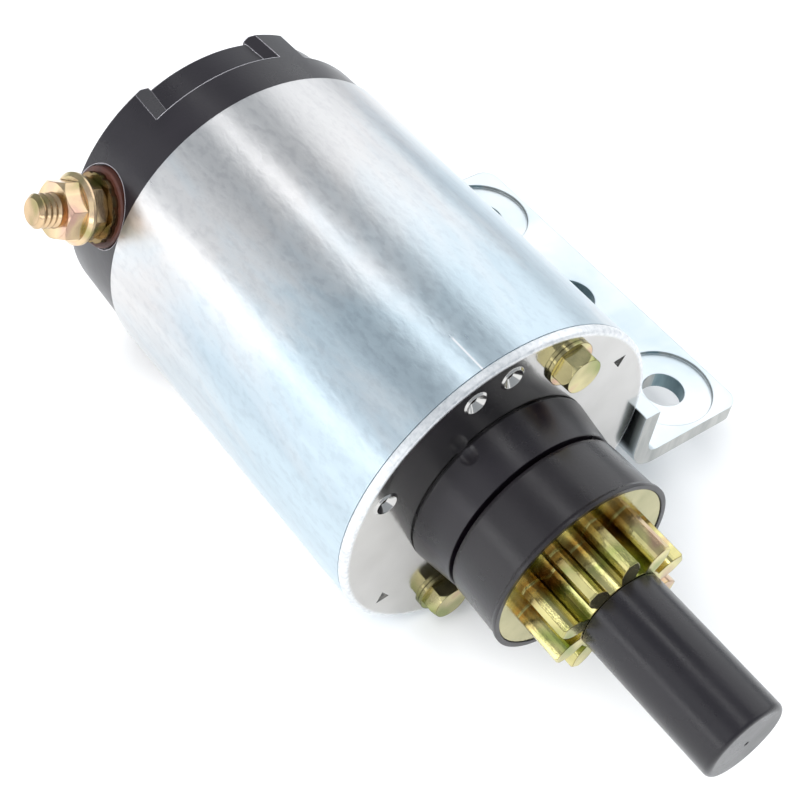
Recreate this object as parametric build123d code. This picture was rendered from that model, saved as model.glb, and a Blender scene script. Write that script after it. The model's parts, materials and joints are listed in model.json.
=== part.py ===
from build123d import *
import math
import os

# A small-engine starter motor: a permanent-magnet motor whose helical shaft throws a sliding
# pinion into a flywheel's ring gear. All sizes are in millimetres and angles in degrees.
#
# Every piece is modelled around the motor's axis. X runs along the axis towards the pinion and is
# 0 at the seam between the can and the drive end plate. An angle of 0 points at the mounting
# bracket (+Y) and 90 points up (+Z). export_piece moves each piece into the shared frame, whose
# origin lies midway between the two mounting holes, on the bracket's mounting face.

# Can and magnets
CAN_RADIUS = 41.0
CAN_WALL = 3.0
CAN_LENGTH = 90.25
CAN_BORE = CAN_RADIUS - CAN_WALL
CAN_REAR = -CAN_LENGTH
MAGNET_COUNT = 4
MAGNET_FIRST_ANGLE = 25.0
MAGNET_SPAN = 66.0
MAGNET_INNER = 31.0
MAGNET_REAR = -78.0
MAGNET_FRONT = -14.0
POLE_PITCH = 360.0 / MAGNET_COUNT
CLIP_ANGLES = (160.0, 340.0)
CLIP_SHEET = 0.8
CLIP_LEG_INNER = 32.0

# Through bolts
BOLT_ANGLES = (70.0, 250.0)
BOLT_CIRCLE = 33.3
BOLT_RADIUS = 2.4
BOLT_HOLE = 2.6
BOLT_HEAD_FLATS = 8.6
BOLT_HEAD_HEIGHT = 4.0
BOLT_HEAD_CHAMFER = 1.1
BOLT_WASHER_RADIUS = 5.6
BOLT_WASHER_HEIGHT = 1.0
BOLT_END = -109.0

# Drive end plate, nose and front bushing
PLATE_THICKNESS = 2.2
PLATE_RIM_ROUND = 1.1
PLATE_SEAM_CHAMFER = 0.25
REGISTER_DEPTH = 3.5
REGISTER_INNER = 35.0
REGISTER_OUTER = CAN_BORE - 0.1
NOSE_SPIGOT_RADIUS = 17.0
NOSE_REAR = -3.0
NOSE_FRONT = 12.8
NOSE_BASE_RADIUS = 23.5
NOSE_TIP_RADIUS = 22.0
NOSE_UNDERCUT = 0.4
BUSHING_RADIUS = 9.0
FRONT_BUSHING_REAR = -3.5
FRONT_BUSHING_FRONT = 12.0
RUNNING_CLEARANCE = 0.06
EYELET_ANGLES = (97.0, 112.0, 157.0)
EYELET_CIRCLE = 35.3
EYELET_RADIUS = 2.9
EYELET_CREST_RADIUS = 2.4
EYELET_CREST = 0.4
EYELET_HOLE = 1.0
EYELET_DEPTH = 0.9
STAKE_ANGLES = (37.5, 217.5)
STAKE_CIRCLE = 35.8
STAKE_RADIUS = 2.0
STAKE_DEPTH = 0.7
DIMPLE_PLACES = ((4.2, 126.0), (7.3, 82.0))
DIMPLE_BALL_RADIUS = 4.0
DIMPLE_DEPTH = 0.6

# Commutator end cap and rear bushing
CAP_REAR = -112.0
CAP_FLOOR = -108.0
CAP_LEDGE = -101.0
CAP_RADIUS = 40.3
CAP_END_RADIUS = 39.7
CAP_STEP_RADIUS = 37.8
CAP_STEP_END_RADIUS = 37.3
CAP_END_ROUND = 1.2
CAP_BAND_TAPER = 0.3
CAP_WALL_BITE = 0.5
CAP_BORE = 34.5
CAP_SPIGOT_FRONT = -86.0
SECTOR_START = 125.0
SECTOR_SPAN = 110.0
SECTOR_WALL_SPAN = 6.0
BOSS_SPAN = 10.0
BOSS_WALL_SPAN = 3.5
PILLAR_RADIUS = 5.5
BEARING_BOSS_RADIUS = 10.5
REAR_BUSHING_REAR = -110.5
REAR_BUSHING_FRONT = -102.5
REAR_BUSHING_RADIUS = 7.5

# Terminal, a stud that leaves the cap radially
STUD_X = -100.9
STUD_ANGLE = 160.1
STUD_RADIUS = 3.97
STUD_ROOT_RADIUS = 3.3
STUD_TIP = 57.7
STUD_CHAMFER = 0.9
STUD_PITCH = 1.4
STUD_HEAD_BOTTOM = 27.7
STUD_HEAD_TOP = 31.0
STUD_HEAD_FLATS = 11.0
STRAP_SHEET = 0.8
STRAP_RADIUS = 31.4
STRAP_WIDTH = 8.0
STRAP_SPAN = 94.0
STRAP_PAD = 13.0
PAD_SEAT = 33.0
PAD_RADIUS = 9.0
INNER_INSULATOR_RADIUS = 7.0
INSULATOR_SLEEVE_RADIUS = 5.4
SEAT_HEIGHT = 38.2
SEAT_POCKET_RADIUS = 9.8
OUTER_INSULATOR_RADIUS = 9.4
OUTER_INSULATOR_TOP = 40.4
OUTER_INSULATOR_CHAMFER = 0.4
WASHER_RADIUS = 8.2
WASHER_TOP = 41.9
WASHER_SCALLOPS = 12
WASHER_SCALLOP_RADIUS = 1.4
WASHER_SCALLOP_DEPTH = 0.35
JAM_NUT_TOP = 46.2
NUT_FLATS = 12.7
FLANGE_TOP = 47.7
FLANGE_RADIUS = 8.3
FLANGE_EDGE = 0.7
FLANGE_SLOPE_WIDTH = 0.9
FLANGE_NUT_TOP = 52.3
FLANGE_NUT_TURN = 30.0
JAM_NUT_TURN = 10.0

# Brush gear
COMMUTATOR_RADIUS = 13.0
BRUSH_X = -96.0
BRUSH_COUNT = 4
BRUSH_FIRST_ANGLE = 25.0
BRUSH_LENGTH = 8.0
BRUSH_WIDTH = 6.0
BRUSH_CLEARANCE = 0.08
BRUSH_BACK = 23.0
BOX_WALL = 0.8
BOX_SLIDE_GAP = 0.15
BOX_INNER_END = 15.0
BOX_OUTER_END = 29.2
BOX_LID = 0.6
BOX_SLOT_WIDTH = 2.6
BOX_SLOT_INNER = 18.0
BRUSH_SPRING_TURNS = 4
BRUSH_SPRING_RADIUS = 2.1
BRUSH_SPRING_WIRE = 0.3
BRUSH_SPRING_GAP = 0.05
HOLDER_REAR = -91.0
HOLDER_FRONT = -89.0
HOLDER_RADIUS = 34.2
HOLDER_HOLE = 14.8
HOLDER_BOLT_HOLE = 3.4
HOLDER_SCREW_ANGLES = (93.0, 227.0, 340.0)
HOLDER_SCREW_CIRCLE = 29.3
HOLDER_SCREW_RADIUS = 1.5
HOLDER_SCREW_HEAD = 2.9
HOLDER_SCREW_HEIGHT = 1.8
HOLDER_SCREW_SLOT = 0.8
HOLDER_SCREW_END = -100.0
SCREW_PILLAR_RADIUS = 3.4
LEAD_RADIUS = 0.7
LEAD_START = 21.0
LEAD_BOX_GAP = 0.3
LEAD_BOW = 3.0
LEAD_BOW_RISE = 4.5
LEAD_END_OFFSET = 2.6

# Armature
SLOT_COUNT = 19
STACK_REAR = -72.0
STACK_FRONT = -20.0
STACK_RADIUS = 30.2
SLOT_CENTRE = 23.4
SLOT_RADIUS = 2.6
SLOT_MOUTH = 1.8
CONDUCTOR_RADIUS = 2.4
END_INSULATOR = 1.0
END_INSULATOR_RADIUS = 28.7
WINDING_OVERHANG = 12.0
WINDING_INNER = 10.0
WINDING_OUTER = 27.0
WINDING_ROUND = 4.0
SHAFT_RADIUS = 7.0
JOURNAL_RADIUS = 6.0
REAR_JOURNAL_RADIUS = 5.0
SHAFT_REAR = -110.0
REAR_JOURNAL_FRONT = -102.0
SHAFT_SHOULDER = -5.0
SPLINE_REAR = 13.8
SPLINE_FRONT = 48.0
SPLINE_ROOT_RADIUS = 4.9
SPLINE_STARTS = 3
SPLINE_WIDTH = 3.2
SPLINE_LEAD = 60.0
SPLINE_GAP = 0.3
THREAD_RADIUS = 4.5
THREAD_REAR = 62.0
SHAFT_FRONT = 73.5
SHAFT_CHAMFER = 0.8
COMMUTATOR_REAR = -102.0
COMMUTATOR_FRONT = -88.2
RISER_FRONT = -86.4
RISER_RADIUS = 15.0
CORE_RADIUS = 9.0
BAR_GAP = 0.6
THRUST_WASHER = 1.0
THRUST_WASHER_RADIUS = 10.0

# Sliding drive, which the splines turn as it slides along the shaft
CUP_REAR = 13.6
CUP_FRONT = 29.1
CUP_REAR_RADIUS = 22.0
CUP_FRONT_RADIUS = 22.5
CUP_LIP_RADIUS = 22.9
CUP_LIP = 1.4
CUP_WALL = 1.1
CUP_CORNER = 1.0
CUP_FLOOR = 1.4
CUP_FLANGE_GAP = 0.1
FLANGE_DISC_RADIUS = 21.6
FLANGE_DISC_REAR = 27.0
FLANGE_DISC_FRONT = 28.9
HUB_REAR = 22.0
HUB_RADIUS = 11.0
PINION_FRONT = 41.2
PINION_TEETH = 10
PINION_MODULE = 2.822
PINION_PHASE = 95.0
PRESSURE_ANGLE = 20.0
DEDENDUM_MODULES = 1.25
TOOTH_BITE = 1.5
PINION_CHAMFER = 0.4
SLEEVE_REAR = 13.9
SLEEVE_FRONT = 34.0
SLEEVE_RADIUS = 8.8
SLEEVE_FLANGE_RADIUS = 15.0
SLEEVE_FLANGE_REAR = 17.0
SLEEVE_FLANGE_FRONT = 18.4
CUSHION_FRONT = 25.4
CUSHION_RADIUS = 19.6
CUSHION_INNER = 11.2
CLUTCH_WASHER_RADIUS = 20.2
SPACER_REAR = 34.1
SPACER_FLANGE = 1.9
SPACER_FLANGE_RADIUS = 8.2
SPACER_RADIUS = 6.9
SPACER_BORE = 6.3
SPACER_FRONT = 45.0
SPRING_RADIUS = 7.45
SPRING_WIRE = 0.45
SPRING_TURNS = 7
STOP_NUT_REAR = 67.0
STOP_NUT_FRONT = 72.5
STOP_NUT_FLATS = 13.0
COVER_REAR = 41.3
COVER_FRONT = 77.6
COVER_RADIUS = 10.0
COVER_WALL = 1.2
COVER_END_WALL = 1.5
COVER_END_ROUND = 1.3
COVER_LIP_REAR = 38.0
COVER_LIP_OUTER = 8.55
COVER_LIP_INNER = 8.05
GATE_MARK_RADIUS = 0.6
GATE_MARK_DEPTH = 0.3

# Mounting bracket, an L welded to the can's side
BRACKET_REAR = -93.0
BRACKET_FRONT = 5.4
BRACKET_SHEET = 4.5
BRACKET_INNER_Y = CAN_RADIUS
BRACKET_OUTER_Y = 77.7
BRACKET_TOP_Z = -17.0
LEG_TOP_Z = -1.5
BEND_OUTER_ROUND = 9.0
BEND_INNER_ROUND = 4.5
CORNER_ROUND = 4.0
MOUNT_HOLE_RADIUS = 5.27
MOUNT_HOLE_PITCH = 71.0
MOUNT_HOLE_Y = 64.4
MOUNT_CENTRE_X = -43.45
PAD_RING_RADIUS = 12.1
PAD_EMBOSS = 0.8
CENTRE_HOLE_RADIUS = 6.5
WELD_DEPTH = 1.2
WELD_TOP_Z = -4.0
WELD_BOTTOM_Z = -9.5
WELD_STITCHES = ((-84.0, -60.0), (-54.0, -33.0), (-27.0, -4.0))

BRACKET_BOTTOM_Z = BRACKET_TOP_Z - BRACKET_SHEET
MOUNT_FACE_Z = BRACKET_BOTTOM_Z - PAD_EMBOSS
SHARED_FRAME = Location((-MOUNT_CENTRE_X, -MOUNT_HOLE_Y, -MOUNT_FACE_Z))


def tube(x_start, x_end, outer, inner=0.0):
    """A round bar or tube along X."""
    ring = Circle(outer)
    if inner:
        ring = ring - Circle(inner)
    return extrude(Plane.YZ.offset(x_start) * ring, x_end - x_start)


def turned(*outline):
    """A solid of revolution about X, from its half outline as (x, radius) points."""
    return revolve(make_face(Polyline(*outline, close=True)), Axis.X)


def sector(x_start, x_end, inner, outer, span, angle):
    """A length of tube cut down to span degrees, centred on angle."""
    middle = Pos((x_start + x_end) / 2, (inner + outer) / 2)
    half_section = middle * Rectangle(x_end - x_start, outer - inner)
    return Rot(X=angle - span / 2) * revolve(half_section, Axis.X, span)


def around(shape, angle, distance):
    """The shape, modelled on the motor's axis, moved out to a distance at an angle."""
    return Rot(X=angle) * Pos(0, distance, 0) * shape


def radial_bar(x, start, end, radius):
    """A round bar that points away from the axis at angle 0."""
    return Pos(x, (start + end) / 2, 0) * Rot(X=90) * Cylinder(radius, end - start)


def radial_hexagon(x, start, end, flats, turn=0.0):
    """A hexagonal bar that points away from the axis at angle 0, turned on its own centre line."""
    section = Rot(Z=turn) * RegularPolygon(flats / 2, 6, major_radius=False)
    return Pos(x, start, 0) * Rot(X=-90) * extrude(section, end - start)


def radial_turned(x, *outline):
    """A solid turned about the radial line at angle 0, from (radius, height) points."""
    half = make_face(Polyline(*outline, close=True))
    return Pos(x, 0, 0) * revolve(half, Axis.Y)


def export_piece(shape, name):
    """Write one piece into the shared frame."""
    export_step(SHARED_FRAME * shape, f"parts/{name}.step")


# Can, magnets and clips


def field_frame():
    return tube(CAN_REAR, 0, CAN_RADIUS, CAN_BORE)


def field_magnet(index):
    angle = MAGNET_FIRST_ANGLE + index * POLE_PITCH
    return sector(MAGNET_REAR, MAGNET_FRONT, MAGNET_INNER, CAN_BORE, MAGNET_SPAN, angle)


def magnet_clip(angle):
    """A spring strip on the can's bore, with a leg against the magnet on each side."""
    gap = POLE_PITCH - MAGNET_SPAN
    leg_span = math.degrees(CLIP_SHEET / CAN_BORE)
    clip = sector(MAGNET_REAR, MAGNET_FRONT, CAN_BORE - CLIP_SHEET, CAN_BORE, gap, angle)
    for side in (-1, 1):
        leg_angle = angle + side * (gap - leg_span) / 2
        clip += sector(MAGNET_REAR, MAGNET_FRONT, CLIP_LEG_INNER, CAN_BORE, leg_span, leg_angle)
    return clip


# Drive end


def eyelet_crest():
    """The raised ring of a spun eyelet, on the axis."""
    return turned(
        (0, 0),
        (PLATE_THICKNESS, EYELET_RADIUS),
        (PLATE_THICKNESS + EYELET_CREST, EYELET_CREST_RADIUS),
        (PLATE_THICKNESS + EYELET_CREST, 0),
    )


def eyelet_well():
    """The eyelet's funnel and its hole through the plate."""
    funnel = turned(
        (PLATE_THICKNESS - EYELET_DEPTH, 0),
        (PLATE_THICKNESS - EYELET_DEPTH, EYELET_HOLE),
        (PLATE_THICKNESS + EYELET_CREST, EYELET_CREST_RADIUS),
        (PLATE_THICKNESS + EYELET_CREST, 0),
    )
    return funnel + tube(-REGISTER_DEPTH, PLATE_THICKNESS, EYELET_HOLE)


def drive_end_plate():
    """The zinc-plated end plate: rounded rim, register, three eyelets and two stake marks."""
    face = tube(0, PLATE_THICKNESS, CAN_RADIUS, NOSE_SPIGOT_RADIUS)
    rim = face.edges().filter_by(GeomType.CIRCLE).group_by(SortBy.RADIUS)[-1].sort_by(Axis.X)
    face = fillet(rim[-1], PLATE_RIM_ROUND)
    seam = face.edges().filter_by(GeomType.CIRCLE).group_by(SortBy.RADIUS)[-1].sort_by(Axis.X)[0]
    face = chamfer(seam, PLATE_SEAM_CHAMFER)
    plate = face + tube(-REGISTER_DEPTH, 0, REGISTER_OUTER, REGISTER_INNER)
    for angle in EYELET_ANGLES:
        plate += around(eyelet_crest(), angle, EYELET_CIRCLE)
        plate -= around(eyelet_well(), angle, EYELET_CIRCLE)
    for angle in STAKE_ANGLES:
        mark = Plane.YZ.offset(PLATE_THICKNESS) * RegularPolygon(STAKE_RADIUS, 3)
        plate -= around(extrude(mark, -STAKE_DEPTH), angle, STAKE_CIRCLE)
    for angle in BOLT_ANGLES:
        plate -= around(tube(-REGISTER_DEPTH, PLATE_THICKNESS, BOLT_HOLE), angle, BOLT_CIRCLE)
    return plate


def drive_end_nose():
    """The black tapered boss that carries the front bushing, undercut where it meets the plate."""
    nose = turned(
        (NOSE_REAR, BUSHING_RADIUS),
        (NOSE_REAR, NOSE_SPIGOT_RADIUS),
        (PLATE_THICKNESS, NOSE_SPIGOT_RADIUS),
        (PLATE_THICKNESS, NOSE_BASE_RADIUS - NOSE_UNDERCUT),
        (PLATE_THICKNESS + NOSE_UNDERCUT, NOSE_BASE_RADIUS - NOSE_UNDERCUT),
        (PLATE_THICKNESS + NOSE_UNDERCUT, NOSE_BASE_RADIUS),
        (NOSE_FRONT, NOSE_TIP_RADIUS),
        (NOSE_FRONT, BUSHING_RADIUS),
    )
    for x, angle in DIMPLE_PLACES:
        share = (x - PLATE_THICKNESS) / (NOSE_FRONT - PLATE_THICKNESS)
        surface = NOSE_BASE_RADIUS + share * (NOSE_TIP_RADIUS - NOSE_BASE_RADIUS)
        dimple = Pos(x, surface + DIMPLE_BALL_RADIUS - DIMPLE_DEPTH, 0) * Sphere(DIMPLE_BALL_RADIUS)
        nose -= Rot(X=angle) * dimple
    return nose


def front_bushing():
    return tube(
        FRONT_BUSHING_REAR, FRONT_BUSHING_FRONT, BUSHING_RADIUS, JOURNAL_RADIUS + RUNNING_CLEARANCE
    )


def through_bolt(angle):
    """A long bolt with a hexagon washer head, from the drive end plate into the end cap."""
    head_base = PLATE_THICKNESS + BOLT_WASHER_HEIGHT
    head_top = PLATE_THICKNESS + BOLT_HEAD_HEIGHT + BOLT_WASHER_HEIGHT
    shank = tube(BOLT_END, head_base, BOLT_RADIUS)
    washer = tube(PLATE_THICKNESS, head_base, BOLT_WASHER_RADIUS)
    hexagon = RegularPolygon(BOLT_HEAD_FLATS / 2, 6, major_radius=False)
    head = extrude(Plane.YZ.offset(head_base) * hexagon, head_top - head_base)
    corner_radius = BOLT_HEAD_FLATS / math.sqrt(3)
    crown = turned(
        (head_base, 0),
        (head_base, corner_radius),
        (head_top - BOLT_HEAD_CHAMFER, corner_radius),
        (head_top, BOLT_HEAD_FLATS / 2),
        (head_top, 0),
    )
    return around(shank + washer + (head & crown), angle, BOLT_CIRCLE)


# Commutator end


def cap_body():
    """The cap's outside: a full-radius band and a stepped rear with raised wedges."""
    ledge_radius = CAP_RADIUS - CAP_BAND_TAPER
    band = turned((CAN_REAR, 0), (CAN_REAR, CAP_RADIUS), (CAP_LEDGE, ledge_radius), (CAP_LEDGE, 0))
    step = turned(
        (CAP_LEDGE, 0),
        (CAP_LEDGE, CAP_STEP_RADIUS),
        (CAP_REAR + CAP_END_ROUND, CAP_STEP_END_RADIUS),
        (CAP_REAR, CAP_STEP_END_RADIUS - CAP_END_ROUND),
        (CAP_REAR, 0),
    )
    full = turned(
        (CAP_LEDGE, 0),
        (CAP_LEDGE, ledge_radius),
        (CAP_REAR + CAP_END_ROUND, CAP_END_RADIUS),
        (CAP_REAR, CAP_END_RADIUS - CAP_END_ROUND),
        (CAP_REAR, 0),
    )
    raised = full & raised_wedge(SECTOR_START + SECTOR_SPAN / 2, SECTOR_SPAN, SECTOR_WALL_SPAN)
    for angle in BOLT_ANGLES:
        raised += full & raised_wedge(angle, BOSS_SPAN, BOSS_WALL_SPAN)
    return band + step + raised


def raised_wedge(angle, span, wall_span):
    """A wedge centred on angle where the cap keeps its full radius, with sloping side walls."""
    places = (
        (CAP_STEP_END_RADIUS, -span / 2 - wall_span),
        (CAP_RADIUS, -span / 2),
        (2 * CAN_RADIUS, -span / 4),
        (2 * CAN_RADIUS, span / 4),
        (CAP_RADIUS, span / 2),
        (CAP_STEP_END_RADIUS, span / 2 + wall_span),
    )
    corners = [(0, 0)]
    for radius, offset in places:
        radians = math.radians(angle + offset)
        corners.append((radius * math.cos(radians), radius * math.sin(radians)))
    section = make_face(Polyline(*corners, close=True))
    return extrude(Plane.YZ.offset(CAP_REAR) * section, CAP_LEDGE - CAP_REAR)


def commutator_end_cap():
    """The cast end cap: bearing boss, bolt and screw pillars and the terminal's seats."""
    cap = cap_body()
    cap -= tube(CAP_FLOOR, CAN_REAR, CAP_BORE)
    cap += tube(CAN_REAR, CAP_SPIGOT_FRONT, REGISTER_OUTER, CAP_BORE)
    cap += tube(CAP_FLOOR, REAR_BUSHING_FRONT, BEARING_BOSS_RADIUS)
    inside = tube(CAP_FLOOR, HOLDER_REAR, CAP_BORE + CAP_WALL_BITE)
    for angle in BOLT_ANGLES:
        cap += around(tube(CAP_FLOOR, HOLDER_REAR, PILLAR_RADIUS), angle, BOLT_CIRCLE) & inside
    for angle in HOLDER_SCREW_ANGLES:
        cap += around(tube(CAP_FLOOR, HOLDER_REAR, SCREW_PILLAR_RADIUS), angle, HOLDER_SCREW_CIRCLE)
    cap += Rot(X=STUD_ANGLE) * radial_bar(STUD_X, PAD_SEAT, SEAT_HEIGHT, PAD_RADIUS) & tube(
        CAP_FLOOR, CAN_REAR, CAP_RADIUS - CAP_WALL_BITE
    )
    cap -= Rot(X=STUD_ANGLE) * radial_bar(STUD_X, SEAT_HEIGHT, CAN_RADIUS, SEAT_POCKET_RADIUS)
    cap -= Rot(X=STUD_ANGLE) * radial_bar(STUD_X, PAD_SEAT, SEAT_HEIGHT, INSULATOR_SLEEVE_RADIUS)
    cap -= tube(REAR_BUSHING_REAR, REAR_BUSHING_FRONT, REAR_BUSHING_RADIUS)
    for angle in BOLT_ANGLES:
        cap -= around(tube(BOLT_END, HOLDER_REAR, BOLT_RADIUS), angle, BOLT_CIRCLE)
        cap -= around(tube(HOLDER_REAR, CAP_SPIGOT_FRONT, BOLT_HOLE), angle, BOLT_CIRCLE)
    for angle in HOLDER_SCREW_ANGLES:
        hole = tube(HOLDER_SCREW_END, HOLDER_REAR, HOLDER_SCREW_RADIUS)
        cap -= around(hole, angle, HOLDER_SCREW_CIRCLE)
    return cap


def rear_bushing():
    return tube(
        REAR_BUSHING_REAR,
        REAR_BUSHING_FRONT,
        REAR_BUSHING_RADIUS,
        REAR_JOURNAL_RADIUS + RUNNING_CLEARANCE,
    )


# Terminal


def stud_thread(start, end):
    """The stud's exposed end, turned with a V groove for each thread."""
    outline = [(0, start), (STUD_RADIUS, start)]
    groove_start = start
    while groove_start + STUD_PITCH < end - STUD_CHAMFER:
        outline.append((STUD_ROOT_RADIUS, groove_start + STUD_PITCH / 2))
        outline.append((STUD_RADIUS, groove_start + STUD_PITCH))
        groove_start += STUD_PITCH
    outline += [(STUD_RADIUS, end - STUD_CHAMFER), (STUD_RADIUS - STUD_CHAMFER, end), (0, end)]
    return radial_turned(STUD_X, *outline)


def terminal_stud():
    head = radial_hexagon(STUD_X, STUD_HEAD_BOTTOM, STUD_HEAD_TOP, STUD_HEAD_FLATS)
    shank = radial_bar(STUD_X, STUD_HEAD_TOP, FLANGE_NUT_TOP, STUD_RADIUS)
    return Rot(X=STUD_ANGLE) * (head + shank + stud_thread(FLANGE_NUT_TOP, STUD_TIP))


def terminal_strap():
    """The copper strap from the stud's head to the two insulated brushes."""
    half_width = STRAP_WIDTH / 2
    band = sector(
        STUD_X - half_width, STUD_X + half_width, STRAP_RADIUS, STRAP_RADIUS + STRAP_SHEET, STRAP_SPAN, 0
    )
    clear = Pos(STUD_X, PAD_SEAT, 0) * Box(STRAP_PAD, STRAP_PAD, STRAP_PAD - STRAP_SHEET)
    pad_middle = Pos(STUD_X, STUD_HEAD_TOP + STRAP_SHEET / 2, 0)
    pad = pad_middle * Box(STRAP_PAD, STRAP_SHEET, STRAP_PAD)
    hole = radial_bar(STUD_X, STUD_HEAD_TOP, PAD_SEAT, STUD_RADIUS)
    return Rot(X=STUD_ANGLE) * (band - clear + pad - hole)


def terminal_inner_insulator():
    """A fibre bush: a flange inside the cap and a sleeve through its wall."""
    flange_bottom = STUD_HEAD_TOP + STRAP_SHEET
    flange = radial_bar(STUD_X, flange_bottom, PAD_SEAT, INNER_INSULATOR_RADIUS)
    sleeve = radial_bar(STUD_X, PAD_SEAT, SEAT_HEIGHT, INSULATOR_SLEEVE_RADIUS)
    hole = radial_bar(STUD_X, flange_bottom, SEAT_HEIGHT, STUD_RADIUS)
    return Rot(X=STUD_ANGLE) * (flange + sleeve - hole)


def terminal_outer_insulator():
    washer = radial_turned(
        STUD_X,
        (STUD_RADIUS, SEAT_HEIGHT),
        (OUTER_INSULATOR_RADIUS, SEAT_HEIGHT),
        (OUTER_INSULATOR_RADIUS, OUTER_INSULATOR_TOP - OUTER_INSULATOR_CHAMFER),
        (OUTER_INSULATOR_RADIUS - OUTER_INSULATOR_CHAMFER, OUTER_INSULATOR_TOP),
        (STUD_RADIUS, OUTER_INSULATOR_TOP),
    )
    return Rot(X=STUD_ANGLE) * washer


def terminal_washer():
    """A plated washer with a shallow scalloped rim."""
    washer = radial_bar(STUD_X, OUTER_INSULATOR_TOP, WASHER_TOP, WASHER_RADIUS)
    washer -= radial_bar(STUD_X, OUTER_INSULATOR_TOP, WASHER_TOP, STUD_RADIUS)
    reach = WASHER_RADIUS + WASHER_SCALLOP_RADIUS - WASHER_SCALLOP_DEPTH
    scallop = radial_bar(0, OUTER_INSULATOR_TOP, WASHER_TOP, WASHER_SCALLOP_RADIUS)
    for index in range(WASHER_SCALLOPS):
        turn = math.radians(index * 360 / WASHER_SCALLOPS)
        washer -= Pos(STUD_X + reach * math.cos(turn), 0, reach * math.sin(turn)) * scallop
    return Rot(X=STUD_ANGLE) * washer


def chamfered_nut(bottom, top, turn, chamfer_bottom):
    """A hexagon nut on the stud with its corners turned off at the top, and the bottom if asked."""
    corner = NUT_FLATS / math.sqrt(3)
    turned_off = corner - NUT_FLATS / 2
    outline = [(0, bottom), (corner, bottom)]
    if chamfer_bottom:
        outline = [(0, bottom), (NUT_FLATS / 2, bottom), (corner, bottom + turned_off)]
    outline += [(corner, top - turned_off), (NUT_FLATS / 2, top), (0, top)]
    nut = radial_hexagon(STUD_X, bottom, top, NUT_FLATS, turn) & radial_turned(STUD_X, *outline)
    return nut - radial_bar(STUD_X, bottom, top, STUD_RADIUS)


def terminal_jam_nut():
    return Rot(X=STUD_ANGLE) * chamfered_nut(WASHER_TOP, JAM_NUT_TOP, JAM_NUT_TURN, True)


def terminal_flange_nut():
    flange = radial_turned(
        STUD_X,
        (STUD_RADIUS, JAM_NUT_TOP),
        (FLANGE_RADIUS, JAM_NUT_TOP),
        (FLANGE_RADIUS, JAM_NUT_TOP + FLANGE_EDGE),
        (FLANGE_RADIUS - FLANGE_SLOPE_WIDTH, FLANGE_TOP),
        (STUD_RADIUS, FLANGE_TOP),
    )
    hexagon = chamfered_nut(FLANGE_TOP, FLANGE_NUT_TOP, FLANGE_NUT_TURN, False)
    return Rot(X=STUD_ANGLE) * (flange + hexagon)


# Brush gear


def brush_angle(index):
    return BRUSH_FIRST_ANGLE + index * 360 / BRUSH_COUNT


def brush_holder_plate():
    plate = tube(HOLDER_REAR, HOLDER_FRONT, HOLDER_RADIUS, HOLDER_HOLE)
    for angle in BOLT_ANGLES:
        plate -= around(tube(HOLDER_REAR, HOLDER_FRONT, HOLDER_BOLT_HOLE), angle, BOLT_CIRCLE)
    for angle in HOLDER_SCREW_ANGLES:
        hole = tube(HOLDER_REAR, HOLDER_FRONT, HOLDER_SCREW_RADIUS)
        plate -= around(hole, angle, HOLDER_SCREW_CIRCLE)
    return plate


def brush_plate_screw(angle):
    shank = tube(HOLDER_SCREW_END, HOLDER_FRONT, HOLDER_SCREW_RADIUS)
    head_top = HOLDER_FRONT + HOLDER_SCREW_HEIGHT
    head = tube(HOLDER_FRONT, head_top, HOLDER_SCREW_HEAD)
    slot = Pos(head_top, 0, 0) * Box(HOLDER_SCREW_HEIGHT, HOLDER_SCREW_SLOT, 3 * HOLDER_SCREW_HEAD)
    return around(shank + head - slot, angle, HOLDER_SCREW_CIRCLE)


def brush_box(index):
    """A brass box that guides one brush, closed at the outer end and slotted for its lead."""
    length = BRUSH_LENGTH + 2 * BOX_SLIDE_GAP
    width = BRUSH_WIDTH + 2 * BOX_SLIDE_GAP
    height = BOX_OUTER_END - BOX_INNER_END
    middle = Pos(BRUSH_X, (BOX_INNER_END + BOX_OUTER_END) / 2, 0)
    box = middle * Box(length + 2 * BOX_WALL, height, width + 2 * BOX_WALL)
    box -= middle * Pos(0, -BOX_LID, 0) * Box(length, height, width)
    slot_height = BOX_OUTER_END - BOX_LID - BOX_SLOT_INNER
    slot_middle = Pos(BRUSH_X - length / 2, BOX_SLOT_INNER + slot_height / 2, 0)
    box -= slot_middle * Box(4 * BOX_WALL, slot_height, BOX_SLOT_WIDTH)
    return Rot(X=brush_angle(index)) * box


def brush(index):
    """A carbon brush whose inner end is shaped to the commutator."""
    block_start = COMMUTATOR_RADIUS / 2
    block = Pos(BRUSH_X, (BRUSH_BACK + block_start) / 2, 0) * Box(
        BRUSH_LENGTH, BRUSH_BACK - block_start, BRUSH_WIDTH
    )
    worn = tube(BRUSH_X - BRUSH_LENGTH, BRUSH_X + BRUSH_LENGTH, COMMUTATOR_RADIUS + BRUSH_CLEARANCE)
    return Rot(X=brush_angle(index)) * (block - worn)


def coil(start, length, turns, radius, wire):
    """A helical spring along X from start, with the wire's edge on each end plane."""
    rise = length - 2 * wire
    path = Helix(pitch=rise / turns, height=rise, radius=radius)
    profile = Plane(origin=path @ 0, z_dir=path % 0) * Circle(wire)
    spring = sweep(profile, path=path)
    return Pos(start + wire, 0, 0) * Rot(Y=90) * spring


def brush_spring(index):
    """The small coil spring between a brush and its box's lid."""
    start = BRUSH_BACK + BRUSH_SPRING_GAP
    length = BOX_OUTER_END - BOX_LID - BRUSH_SPRING_GAP - start
    spring = coil(start, length, BRUSH_SPRING_TURNS, BRUSH_SPRING_RADIUS, BRUSH_SPRING_WIRE)
    return Rot(X=brush_angle(index)) * Pos(BRUSH_X, 0, 0) * Rot(Z=90) * spring


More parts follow.
